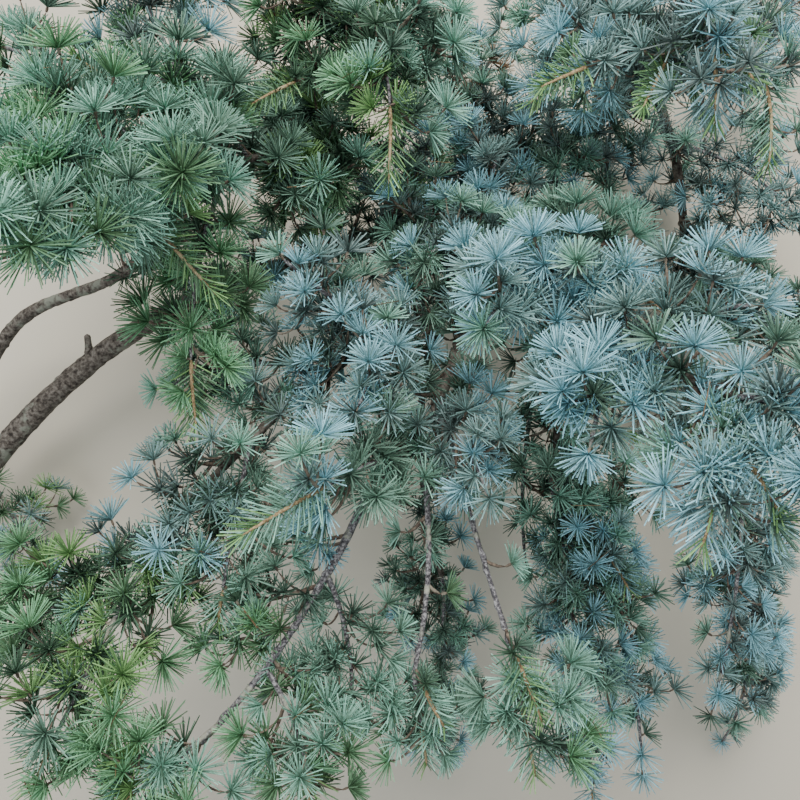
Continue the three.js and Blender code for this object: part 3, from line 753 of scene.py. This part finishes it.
def twig_skin(mass, path, thick, sides, seed, span=(0.0, 1.0)):
    """A twig: a narrowing tube over a span of its path, with a leaf scar's swelling every few millimetres."""
    rings = max(4, int(path.length * (span[1] - span[0]) / SCAR_GAP))
    steps = np.linspace(0, 1, rings)
    shares = span[0] + (span[1] - span[0]) * steps
    radius = (thick[0] + (thick[1] - thick[0]) * steps)[:, None] * np.ones(sides)
    scars = chance(np.arange(rings * sides).reshape(rings, sides), seed)
    radius = radius * (0.88 + 0.34 * scars)
    radius[[0, -1]] *= 0.35
    mass.add(*shell_of(path, radius, shares, sides))


def tufts_on(path, thick, tint, growth, seed, last=None):
    """Spurs along a path, each a golden turn on from the one before and turned towards the light, with one
    that ends it. Tufts nearer the tip take a lighter tone, partly as newer growth and partly as painted
    light, and the growth's own offset adds painted light where it is above nought and painted shade where
    below."""
    vigour, painted_light, mixed, other = growth
    stop = path.length if last is None else last
    places = np.arange(stop, FIRST_TUFT, -TUFT_GAP * vigour)[::-1]
    if not len(places):
        places = np.array([stop])
    shares = places / path.length
    heading, out_first, out_second = frame_at(path, shares)
    turn = np.arange(len(places)) * GOLDEN + 2 * np.pi * chance(7, seed)
    out = np.cos(turn)[:, None] * out_first + np.sin(turn)[:, None] * out_second
    axis = unit(out + SPUR_TO_TIP * heading + SPUR_TO_LIGHT * SKYWARD)
    if last is None:
        axis[-1] = unit(heading[-1] + LAST_TO_LIGHT * SKYWARD)
    foot = path.point(shares)
    middle = foot + axis * (SPUR + thick[1])
    pick = chance(np.arange(len(places)) + 11, seed + 0.3)
    # Painted light and shade: the tone chooses among the pale, the mid and the deep copy of the tint
    tone = pick + TIP_PALER * (shares - 0.5) + painted_light
    strays = chance(np.arange(len(places)) + 31, seed + 0.1) < mixed
    for row in range(len(places)):
        shade = "deep" if tone[row] < DEEP_UNDER else "mid" if tone[row] < PALE_FROM else "pale"
        kind = f"{other if strays[row] else tint}_{shade}"
        if pick[row] < DEAD:
            kind = "dead"
        elif tint == "green" and pick[row] > 1 - YOUNG:
            kind = "young"
        needle_sites[kind].append((middle[row], axis[row], vigour))
        spurs.append((foot[row], middle[row]))


def long_shoot(path, reach, tint, growth, seed):
    """The long shoot that ends a stem: needles one by one in a spiral, each a golden turn on and a short
    step further, leaning forward, shorter and younger towards the tip, and parted over the stem."""
    start = 1 - reach / path.length
    count = np.arange(int(reach / SHOOT_GAP))
    share = (count + 0.5) / len(count)
    at = start + (1 - start) * share
    heading, first, second = frame_at(path, at)
    turn = count * GOLDEN
    out = np.cos(turn)[:, None] * first + np.sin(turn)[:, None] * second
    lean = np.radians(SHOOT_LEAN[0] + SHOOT_LEAN[1] * share**2)[:, None]
    way = unit(out * np.cos(lean) + heading * np.sin(lean) + SHOOT_TO_LIGHT * SKYWARD)
    length = NEEDLE * growth[0] * (1.16 - 0.5 * share**2) * (0.88 + 0.24 * chance(count, seed))
    green = 0.2 if tint == "green" else 0.0
    young = chance(count + 5, seed) < green + 0.8 * share**4
    kept = (out[:, 2] < PARTING) | (chance(count + 9, seed) < STANDING)
    depth = ROOTED + (SHOOT_STEM[0] - SHOOT_STEM[1]) * share[:, None]
    foot = path.point(at) + out * (SHOOT_STEM[0] - depth)
    return foot[kept], way[kept], length[kept], young[kept]


def dress(path, thick, tint, growth, seed, shoot=0, mass=None):
    """A stem or twig with its skin, its finer twigs, its tufts, and a long shoot where it ends in one."""
    budding = 1 - shoot / path.length
    twig_skin(wood if mass is None else mass, path, thick, TWIG_SIDES, seed, span=(0.0, budding))
    fine = int(path.length / FINE_GAP)
    for k, twig in enumerate(twigs_of(path, fine, FINE_REACH, seed + 0.7)):
        if shoot and np.linalg.norm(twig.point(0.0) - path.point(0.0)) > path.length - shoot:
            continue
        twig_skin(shoots, twig, FINE_TWIG, FINE_SIDES, seed + k)
        tufts_on(twig, FINE_TWIG, tint, growth, seed + FINE_STEP * k)
    if not shoot:
        tufts_on(path, thick, tint, growth, seed)
        return
    tufts_on(path, thick, tint, growth, seed, last=path.length - shoot)
    foot, way, length, young = long_shoot(path, shoot, tint, growth, seed)
    # The older needles of a long shoot take the pale copy as painted light, but green shoots take the mid one
    older = "green_mid" if tint == "green" else f"{tint}_pale"
    for name, chosen in (("young", young), (older, ~young)):
        single_needles[name].append((foot[chosen], way[chosen], length[chosen]))
    twig_skin(long_shoots, path, SHOOT_STEM, TWIG_SIDES, seed + 0.2, span=(budding, 1.0))


# The limbs and what grows on them
paths = {}
for name, (on, at, tip, bow, sway, _) in LIMBS.items():
    paths[name] = path_of(paths[on].point(at) if on else at, tip, bow, sway)

spray_nodes = {"blue": [], "teal": [], "green": []}
seed = 0
for on, rows in SPRAYS.items():
    vigour, painted_light, *mix = GROWTH[on]
    for k, (at, tip, bow, twigs, reach, tint, shoot) in enumerate(rows):
        seed += 1
        name = f"{on.split('_')[0]}_spray_{k + 1}"
        own = OWN.get(name, (1, 0))
        growth = (vigour * own[0], painted_light + own[1], *mix)
        spray_nodes[tint].append(name)
        stem = path_of(paths[on].point(at), tip, bow)
        dress(stem, STEM, tint, growth, seed, shoot)
        for j, twig in enumerate(twigs_of(stem, twigs, reach, seed)):
            dress(twig, TWIG, tint, growth, seed + TWIG_STEP * (j + 1), mass=shoots)

for k, (on, at, tip, twigs, reach, tint) in enumerate(FILL):
    vigour, painted_light, *mix = GROWTH[on]
    growth = (vigour, painted_light + FILL_PAINTED_SHADE, *mix)
    stem = path_of(paths[on].point(at), tip, FILL_BOW)
    dress(stem, SPRIG, tint, growth, FILL_SEED + k, mass=shoots)
    for j, twig in enumerate(twigs_of(stem, twigs, reach, FILL_SEED + k)):
        dress(twig, TWIG, tint, growth, FILL_SEED + k + TWIG_STEP * (j + 1), mass=shoots)

for k, (on, at, tip, reach, tint) in enumerate(LONG):
    stem = path_of(paths[on].point(at), tip, LONG_BOW)
    vigour, *rest = GROWTH[on]
    dress(stem, SPRIG, tint, (vigour * SHORTER, *rest), LONG_SEED + k, reach, mass=shoots)

for k, (on, row) in enumerate(SPRIGS.items()):
    vigour, painted_light, *mix = GROWTH[on]
    growth = (vigour, painted_light + SPRIG_PAINTED_SHADE, *mix)
    for j, sprig in enumerate(sprigs_of(paths[on], row, SPRIG_SEED + k)):
        dress(sprig, SPRIG, row[-1], growth, SPRIG_TUFT_SEED + 20 * k + j, mass=shoots)

# Each tuft's needles lean out from its axis by the square root of their share, a golden turn apart
draw = np.random.default_rng(NEEDLE_SEED)


def star(sites, needles):
    """Feet, directions and lengths of the needles of many tufts."""
    middle = np.array([site[0] for site in sites])
    axis = np.array([site[1] for site in sites])
    vigour = np.array([site[2] for site in sites])[:, None]
    first, second = square_to(axis)
    k = np.arange(needles)
    share = (k + 0.5) / needles
    spread = (len(sites), needles)
    turn = k * GOLDEN + draw.uniform(0, 2 * np.pi, (len(sites), 1)) + draw.normal(0, TURN_STRAYS, spread)
    widest = draw.uniform(*WIDEST, (len(sites), 1))
    lean = np.radians(INNERMOST + widest * np.sqrt(share) + draw.normal(0, LEAN_STRAYS, spread))
    side = np.cos(turn)[..., None] * first[:, None] + np.sin(turn)[..., None] * second[:, None]
    way = axis[:, None] * np.cos(lean)[..., None] + side * np.sin(lean)[..., None]
    size = vigour * draw.uniform(*TUFT_VARIES, (len(sites), 1))
    length = NEEDLE * size * (0.8 + 0.2 * np.sqrt(share)) * draw.uniform(*NEEDLE_VARIES, spread)
    foot = middle[:, None] + way
    return foot.reshape(-1, 3), way.reshape(-1, 3), length.reshape(-1)


# Dry needles caught across the outer tufts
for k in range(DRY):
    kind = ("blue_pale", "teal_pale", "teal_mid", "green_pale")[k % 4]
    middle, axis, vigour = needle_sites[kind][draw.integers(len(needle_sites[kind]))]
    way = unit(np.cross(axis, draw.normal(size=3)))
    foot = middle + axis * NEEDLE * vigour * draw.uniform(0.3, 0.7) - way * NEEDLE * 0.5
    single_needles["dead"].append((foot[None], way[None], np.array([NEEDLE * draw.uniform(0.9, 1.4)])))

for name, sites in needle_sites.items():
    tint, _, shade = name.partition("_")
    feet, ways, lengths, rounds = [], [], [], []
    usual, around = NEEDLES.get(shade, YOUNG_NEEDLES), NEEDLE_ROUND.get(shade, YOUNG_ROUND)
    lean = [site for site in sites if site[2] <= LUSH]
    lush = [site for site in sites if site[2] > LUSH]
    crowds = ((lean, usual), (lush, usual * 3 // 2))
    groups = [(star(crowd, needles), around) for crowd, needles in crowds if crowd]
    single_round = DRY_ROUND if name == "dead" else SINGLE_ROUND
    groups += [(single, single_round) for single in single_needles[name]]
    if not groups:
        continue
    for (foot, way, length), around in groups:
        feet.append(foot)
        ways.append(way)
        lengths.append(length)
        rounds.append(np.full(len(foot), around))
    feet, ways, lengths = np.concatenate(feet), np.concatenate(ways), np.concatenate(lengths)
    ends = feet + ways * lengths[:, None]
    ends[:, 2] = np.maximum(ends[:, 2], LOWEST)
    feet[:, 2] = np.maximum(feet[:, 2], LOWEST)
    middles = np.stack([feet, ends], axis=1)
    radii = np.concatenate(rounds)[:, None] * np.array([1.0, NEEDLE_TAPER])
    roll = draw.uniform(0, 2 * np.pi, len(feet))
    kind = SLOTS.get(tint, "needles_green")
    nodes = spray_nodes.get(tint, [])
    parts = int(np.ceil(len(feet) / MOST_NEEDLES))
    for part, chosen in enumerate(np.array_split(np.arange(len(feet)), parts)):
        mass = Mass()
        mass.add(*rods(middles[chosen], radii[chosen], 3, roll[chosen]))
        # along: 0 at a needle's foot and 1 at its tip, plus a tone of its own, plus painted highlight and
        # painted shade on its edges
        along = np.tile(np.repeat([0.0, 1.0], 3), len(chosen))
        along += np.repeat(draw.normal(0, UNLIKE, len(chosen)), 6) + np.tile(PAINTED_EDGE_LIGHT, 2 * len(chosen))
        put(f"needles_{name}_{part + 1}", mass, NEEDLE_FINISHES[name], nodes, along=along)

# Spurs swell past their middle and narrow into the tuft
foot = np.array([spur[0] for spur in spurs])
top = np.array([spur[1] for spur in spurs])
middles = np.stack([foot, foot + (top - foot) * 0.6, top + (top - foot) * 0.18], axis=1)
radii = np.tile(SPUR_RADII, (len(foot), 1))
mass = Mass()
mass.add(*rods(middles, radii, 4, draw.uniform(0, 2 * np.pi, len(foot))))
put("spurs", mass, SHOOT_BARK, [])
put("twigs_grey", wood, TWIG_BARK, [], smooth=True)
put("twigs_young", shoots, SHOOT_BARK, [], smooth=True)
put("long_shoots", long_shoots, LONG_BARK, [], smooth=True)

# The limbs' bark, with the stub of a lost limb on the main one, and the face of the saw cut
scar = paths["main_limb"].point(STUB_AT)
stub = path_of(scar, scar + STUB_REACH)
for k, (name, limb) in enumerate(LIMBS.items()):
    thick = SLIM.get(name, limb[-1])
    twiggy = name.endswith("twig")
    main = name == "main_limb"
    sides = MAIN_SIDES if main else LIMB_SIDES
    rough = TWIG_ROUGH if twiggy else LIMB_ROUGH
    mass = Mass()
    mass.add(*bark_shell(paths[name], thick, BARK_SEED + k, sides, rough, cut=main))
    if main:
        mass.add(*bark_shell(stub, STUB, STUB_SEED, STUB_SIDES, rough))
    put(f"{name}_bark", mass, TWIG_BARK if twiggy else BARK, [name], smooth=True)

start = paths["main_limb"].point(0.0)
heading = paths["main_limb"].heading(0.0)
cut = path_of(start - heading * CUT_PROUD, start + heading * CUT_INTO)
rims = CUT_RADIUS * np.array([0.98, 1.0, 1.0])[:, None] * np.ones(MAIN_SIDES)
face = Mass()
face.add(*shell_of(cut, rims, np.array([0.0, 0.2, 1.0]), MAIN_SIDES))
put("cut_face", face, cut_wood_material("cut_wood", (start - MIDDLE) * MM), [])


# The floor, the light and the camera
def floor_material():
    """Pale matt floor with a faint drift in its tone."""
    material, shader, node, join = new_material("floor_paint", 0.9, 0.2)
    place = node("ShaderNodeTexCoord")
    drift = node("ShaderNodeTexNoise", Scale=1.1, Detail=1.0)
    join(place.outputs["Object"], drift.inputs["Vector"])
    ramp = ramp_of(node, [(0.3, linear(212, 203, 184)), (0.7, linear(220, 212, 194))])
    join(drift.outputs["Fac"], ramp.inputs["Fac"])
    join(ramp.outputs["Color"], shader.inputs["Base Color"])
    return material


def area_light(name, place, aim, size, power, colour):
    """A square soft light at place that faces aim."""
    data = bpy.data.lights.new(name, "AREA")
    data.size = size
    data.energy = power
    data.color = colour
    lamp = bpy.data.objects.new(name, data)
    lamp.location = place
    way = Vector(np.array(aim) - np.array(place))
    lamp.rotation_mode = "QUATERNION"
    lamp.rotation_quaternion = way.to_track_quat("-Z", "Y")
    bpy.context.scene.collection.objects.link(lamp)


floor_mesh = bpy.data.meshes.new("floor")
floor_mesh.from_pydata([(-9, -9, 0), (9, -9, 0), (9, 9, 0), (-9, 9, 0)], [], [(0, 1, 2, 3)])
floor_mesh.materials.append(floor_material())
floor = bpy.data.objects.new("floor", floor_mesh)
bpy.context.scene.collection.objects.link(floor)

world = bpy.data.worlds.new("room")
world.use_nodes = True
world.node_tree.nodes["Background"].inputs["Color"].default_value = (0.86, 0.93, 1.0, 1.0)
world.node_tree.nodes["Background"].inputs["Strength"].default_value = 0.6
bpy.context.scene.world = world
area_light("window", (0.15, 1.25, 1.9), (0.05, 0.0, 0.3), 1.3, 74, (1.0, 0.985, 0.955))
area_light("fill", (-0.9, -0.9, 1.9), (0.0, 0.0, 0.3), 1.6, 13, (0.92, 0.97, 1.0))
bpy.context.scene.view_settings.look = "AgX - Base Contrast"
bpy.context.scene.view_settings.exposure = -0.18

VIEW = 1.019  # metres that the view is wide, a metre from the camera
eye = bpy.data.cameras.new("eye")
eye.sensor_width = 36
eye.lens = eye.sensor_width / VIEW
camera = bpy.data.objects.new("eye", eye)
camera.location = (0.1, -0.027, 1.1)
bpy.context.scene.collection.objects.link(camera)
bpy.context.scene.camera = camera
